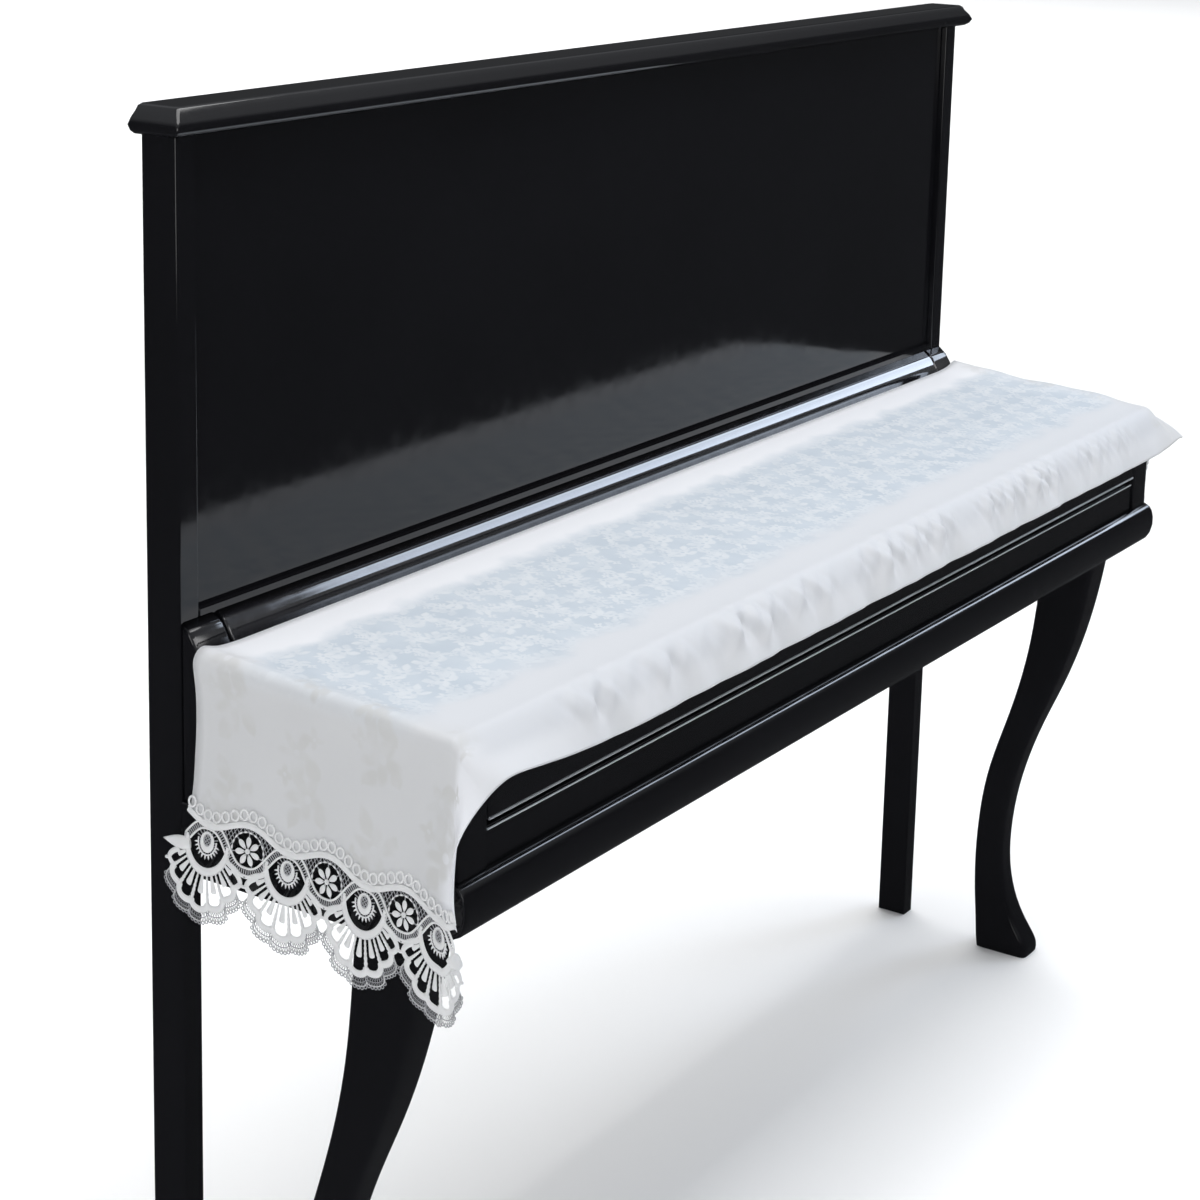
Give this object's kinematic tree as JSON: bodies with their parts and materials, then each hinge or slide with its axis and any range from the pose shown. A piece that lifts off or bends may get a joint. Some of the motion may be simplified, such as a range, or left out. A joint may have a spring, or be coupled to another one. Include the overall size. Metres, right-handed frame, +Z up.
{
  "type": "piano keyboard cover on a plain upright piano case",
  "caption": "White jacquard runner with scalloped guipure-lace ends, draped over the closed key lid of a plain black upright piano case to keep dust off.",
  "frame": {"origin": "on the floor, under the middle of the whole", "axes": "+X along the keys to the player's right, -Y towards the player, +Z up"},
  "size_m": [1.5762, 0.3828, 1.2763],
  "materials": {
    "white_jacquard": "satin-weave jacquard with tone-on-tone flowers",
    "white_lace": "matt cotton guipure lace",
    "black_lacquer": "high-gloss black lacquer"
  },
  "bodies": {
    "root": {"cover_cloth": "white_jacquard", "lace_left": "white_lace", "lace_right": "white_lace", "key_lid": "black_lacquer", "key_slip": "black_lacquer", "arm_left": "black_lacquer", "arm_right": "black_lacquer", "keybed": "black_lacquer", "upper_panel": "black_lacquer", "panel_rail": "black_lacquer", "top_lid": "black_lacquer", "end_panel_left": "black_lacquer", "end_panel_right": "black_lacquer", "leg_left": "black_lacquer", "leg_right": "black_lacquer"}
  },
  "joints": []
}
